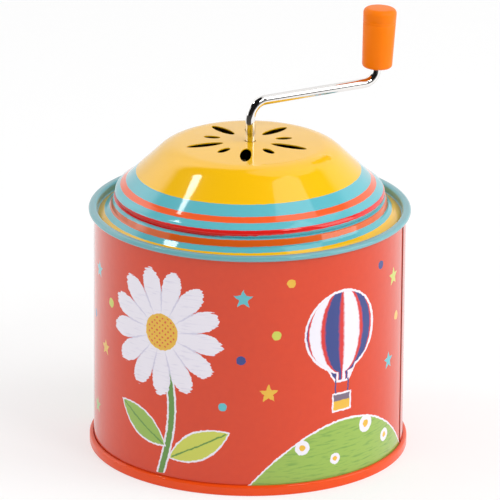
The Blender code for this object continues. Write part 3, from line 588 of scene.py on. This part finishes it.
def slot_outline(inner, outer, width, azimuth, steps=32):
    """An oval along a radius of the lid."""
    turn = Matrix.Rotation(azimuth, 2)
    middle = (inner + outer) / 2
    oval = []
    for i in range(steps):
        angle = 2 * math.pi * i / steps
        along = middle + (outer - inner) / 2 * math.cos(angle)
        oval.append(tuple(turn @ Vector((along, width / 2 * math.sin(angle)))))
    return oval


def flat(name, outlines, thickness):
    """A flat plate standing on z = 0: the first outline is its edge, those inside it are holes."""
    curve = bpy.data.curves.new(name, "CURVE")
    curve.dimensions = "2D"
    curve.fill_mode = "BOTH"
    curve.extrude = thickness / 2
    for outline in outlines:
        spline = curve.splines.new("POLY")
        spline.points.add(len(outline) - 1)
        spline.use_cyclic_u = True
        for point, (x, y) in zip(spline.points, outline):
            point.co = (x, y, 0.0, 1.0)
    obj = bpy.data.objects.new(name, curve)
    bpy.context.scene.collection.objects.link(obj)
    made = settled(obj)
    made.data.transform(Matrix.Translation((0.0, 0.0, thickness / 2)))
    return made


outlines = []
for i in range(2 * slot_pairs):
    shape = short_slot if i % 2 else long_slot
    outlines.append(slot_outline(*shape, math.pi * i / slot_pairs - math.pi / 2 + slot_twist))
cutter = flat("slot_cutter", outlines, shoulder_rounding)
punched = Vector((*print_offset, 0.0)) / millimetre
cutter.data.transform(Matrix.Translation(punched + Vector((0.0, 0.0, lid_top - shoulder_rounding / 2))))
lid = turned("ringed_lid", lid_line, can_steps, sheet)
lid = combined(lid, cutter, "DIFFERENCE")
seat(lid, "housing", ringed, tin)
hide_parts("lid")

# Crank wire
# A bright plated steel wire, bent twice on a former. Its foot stands in the coupling under the lid
# and its tip, which leans outwards, carries the knob.
joints = {joint["name"]: joint for joint in frame["joints"]}
knob_place = Vector(joints["knob_spin"]["pos_m"])
knob_axis = Vector(joints["knob_spin"]["axis"]).normalized()
knob_seat = 0.0041
knob_bore_depth = 0.0125
lid_bend = 0.0046
knob_bend = 0.004
elbow = knob_place - knob_axis * knob_seat
arm_foot = Vector((0.0, 0.0, elbow.z))
wire_foot = Vector((0.0, 0.0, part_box("crank_wire")[0].z))
wire_tip = knob_place + knob_axis * (knob_bore_depth - gap)


def bend(before, corner, after, radius, steps):
    """Points of the arc that rounds a corner in space."""
    to_before = (before - corner).normalized()
    to_after = (after - corner).normalized()
    half = to_before.angle(to_after) / 2
    centre = corner + (to_before + to_after).normalized() * (radius / math.sin(half))
    start = corner + to_before * (radius / math.tan(half)) - centre
    axis = to_before.cross(to_after).normalized()
    swept = math.pi - 2 * half
    return [centre + Matrix.Rotation(-swept * i / steps, 3, axis) @ start for i in range(steps + 1)]


def wire(name, points, radius, roundness):
    """A round wire along a line of points, with closed ends."""
    curve = bpy.data.curves.new(name, "CURVE")
    curve.dimensions = "3D"
    curve.bevel_depth = radius
    curve.bevel_resolution = roundness
    curve.use_fill_caps = True
    spline = curve.splines.new("POLY")
    spline.points.add(len(points) - 1)
    for point, place in zip(spline.points, points):
        point.co = (*place, 1.0)
    obj = bpy.data.objects.new(name, curve)
    bpy.context.scene.collection.objects.link(obj)
    return settled(obj)


route = [wire_foot]
route += bend(wire_foot, arm_foot, elbow, lid_bend, 20)
route += bend(arm_foot, elbow, wire_tip, knob_bend, 16)
route.append(wire_tip)
bright = finish("bright_wire", {"Metallic": 1.0})
x, y, z = bright.place()
spot = bright.point(x, y, z)
scuffs = bright.noise(spot, 0.9, 4.0)
bright.drive("Base Color", bright.mixed(scuffs * 0.5, paint(244, 242, 240), paint(224, 221, 218)))
bright.drive("Roughness", 0.03 + scuffs * 0.06)
crank = wire("crank_rod", route, wire_radius, 10)
seat(crank, "crank", bright)
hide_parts("crank_wire")

# Knob
# A moulded plastic grip in orange, slightly thicker towards its domed top. It turns on the wire's
# tip in a blind bore, and two fine lines from the mould run round it.
knob_length = 0.0169
knob_top_radius = 0.00465
knob_foot_radius = 0.00415
line_depth = 0.00006
line_half = 0.00012


def side_radius(height):
    return knob_foot_radius + (knob_top_radius - knob_foot_radius) * height / knob_length


def mould_line(height):
    """A fine groove round the knob."""
    radius = side_radius(height)
    return [
        (radius, height + line_half, 0.0),
        (radius - line_depth, height, 0.0),
        (radius, height - line_half, 0.0),
    ]


knob_line = softened([
    (0.0, knob_length, 0.0),
    (knob_top_radius, knob_length, 0.0014),
    *mould_line(knob_length * 0.79),
    *mould_line(knob_length * 0.75),
    (knob_foot_radius, 0.0, 0.001),
    (hole_radius, 0.0, 0.0002),
    (hole_radius, knob_bore_depth, 0.0),
    (0.0, knob_bore_depth, 0.0),
], 8)
satin = {"Roughness": 0.36, "Specular IOR Level": 0.15, "Coat Weight": 0.05, "Coat Roughness": 0.2}
plastic = finish("orange_plastic", satin)
x, y, z = plastic.place()
spot = plastic.point(x, y, z)
clouds = plastic.noise(spot, 0.25, 3.0) * 0.5
plastic.drive("Base Color", plastic.mixed(clouds, paint(252, 128, 0), paint(244, 114, 0)))
plastic.bump(plastic.noise(spot, 2.5, 2.0), 0.08, 0.0002)
knob = turned("turning_knob", knob_line, 96)
knob.data.transform(Matrix.Translation(knob_place) @ knob_axis.to_track_quat("Z", "Y").to_matrix().to_4x4())
seat(knob, "knob", plastic)
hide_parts("crank_knob")

# Movement
# The comb movement under the lid: a black moulded carrier, a zinc casting, strip brackets, a steel
# comb and screws, a brass cylinder with its pins, and a white plastic wheel on the worm.
black = finish("black_carrier", {"Roughness": 0.5})
x, y, z = black.place()
dust = black.noise(black.point(x, y, z), 0.4, 3.0)
black.drive("Base Color", black.mixed(dust, paint(22, 22, 23), paint(34, 34, 35)))


def metal(name, light, dark, roughness, spread, grain):
    """A metal whose polish and tint vary with its grain."""
    look = finish(name, {"Metallic": 1.0})
    x, y, z = look.place()
    mottle = look.noise(look.point(x, y, z), grain, 4.0)
    look.drive("Base Color", look.mixed(mottle, light, dark))
    look.drive("Roughness", roughness + mottle * spread)
    return look


zinc = metal("cast_zinc", paint(200, 201, 203), paint(168, 169, 172), 0.38, 0.25, 0.9)
plated = metal("plated_strip", paint(206, 206, 204), paint(180, 181, 182), 0.22, 0.2, 0.5)
steel = metal("spring_steel", paint(204, 205, 208), paint(176, 178, 184), 0.18, 0.2, 1.2)
brass = metal("turned_brass", paint(222, 186, 106), paint(196, 158, 82), 0.2, 0.18, 0.8)
white = finish("white_plastic", {"Roughness": 0.4})
x, y, z = white.place()
flow = white.noise(white.point(x, y, z), 0.5, 2.0)
white.drive("Base Color", white.mixed(flow, paint(232, 230, 222), paint(216, 213, 202)))
looks = {
    "carrier_plastic": black,
    "cast_zinc": zinc,
    "bracket_steel": plated,
    "spring_steel": steel,
    "brass": brass,
    "wheel_plastic": white,
}
for row in frame["record"]["subparts"]:
    if row["material_slot"] in looks:
        node = frame["nodes"][row["node"]]
        node.data.materials.clear()
        node.data.materials.append(looks[row["material_slot"]].owner)

# Floor, backdrop and lamps
# A sheet of white paper, with a dim room past its edge. A window on the right lights the can, with
# soft boxes above it, in front and on the left, and lacquer and metal mirror pale walls behind it.
table_mesh = bpy.data.meshes.new("table")
shape = bmesh.new()
bmesh.ops.create_grid(shape, x_segments=1, y_segments=1, size=3.0)
shape.to_mesh(table_mesh)
shape.free()
table = bpy.data.objects.new("table", table_mesh)
bpy.context.scene.collection.objects.link(table)
white_sweep = finish("white_sweep", {"Roughness": 0.9, "Emission Strength": 1.0})
x, y, z = white_sweep.place()
rays = white_sweep.node("ShaderNodeLightPath", {}, {})
camera_ray, glossy_ray, clear_ray = [
    Tone(white_sweep, rays.socket.node.outputs[name])
    for name in ("Is Camera Ray", "Is Glossy Ray", "Is Transmission Ray")
]
sheet_reach, sheet_fade = 235.0, 40.0
right_reach = 0.6
back_edge, back_fade = 160.0, 80.0
past_sheet = length_of(x, y) - x.most(0.0) * right_reach - sheet_reach
beyond = (past_sheet / sheet_fade).held() * ((back_edge - y) / back_fade).held()
dark = glossy_ray * beyond
seen = (camera_ray + glossy_ray + clear_ray).held()
pale = white_sweep.mixed(seen, paint(244, 244, 244), paint(182, 182, 182))
white_sweep.drive("Base Color", white_sweep.mixed(dark, pale, paint(58, 56, 56)))
sheet_glow = 0.54
glow = seen * (1 - dark) * sheet_glow
white_sweep.drive("Emission Color", white_sweep.point(glow, glow, glow))
table_mesh.materials.append(white_sweep.owner)

world = bpy.data.worlds.new("studio")
bpy.context.scene.world = world
studio = Recipe(world, "Background", {"Strength": 1.0})
rays = studio.node("ShaderNodeLightPath", {}, {})
camera_ray, glossy_ray, clear_ray = [
    Tone(studio, rays.socket.node.outputs[name])
    for name in ("Is Camera Ray", "Is Glossy Ray", "Is Transmission Ray")
]
direction = studio.node("ShaderNodeTexCoord", {}, {}, "Generated")
apart = studio.node("ShaderNodeSeparateXYZ", {}, {0: direction})
x, y, z = [Tone(studio, socket) for socket in apart.socket.node.outputs]

# What metal and lacquer mirror: a wall that stands behind the can and is brighter on the left, a
# round panel overhead and a low glow on the right, in a room that is nearly dark.
wall_level, left_gain, glow_level, room_level, sky_level = 0.9, 0.7, 0.25, 0.01, 0.66
back_wall = ((y * 1.63 - z) / 0.25 + 0.3).held()
left_share = (x / -0.3).held() * ((0.85 - y) / 0.25).held()
overhead = ((x * 0.3 + y * 0.35 + z * 0.887 - 0.94) / 0.02).held()
right_glow = ((x - 0.6) / 0.1).held() * ((0.45 - z) / 0.1).held() * glow_level
mirrored = (back_wall * (wall_level + left_share * left_gain)).most(overhead) + right_glow + room_level
grey = glossy_ray * mirrored + (1 - glossy_ray) * sky_level
shade = studio.point(grey, grey, grey)
white_rays = (camera_ray + clear_ray).held()
studio.drive("Color", studio.mixed(white_rays, shade, (1.0, 1.0, 1.0, 1.0)))


def lamp(name, toward, distance, size, power):
    """A soft box that looks at the can's lid from a direction."""
    data = bpy.data.lights.new(name, "AREA")
    data.size = size
    data.energy = power
    box = bpy.data.objects.new(name, data)
    bpy.context.scene.collection.objects.link(box)
    outward = Vector(toward).normalized()
    box.location = Vector((0.0, 0.0, lid_top)) + outward * distance
    box.rotation_euler = outward.to_track_quat("Z", "Y").to_euler()


lamp("right_window", (0.93, -0.18, 0.34), 1.3, 0.85, 6.2)
lamp("right_soft_box", (0.5, -0.19, 0.84), 1.2, 0.55, 1.6)
lamp("front_soft_box", (0.5, -0.6, 0.62), 1.3, 0.3, 2.6)
lamp("left_lamp", (-0.59, 0.08, 0.815), 1.2, 0.13, 0.8)
lamp("left_soft_box", (-0.95, -0.05, 0.3), 1.3, 0.9, 2.2)
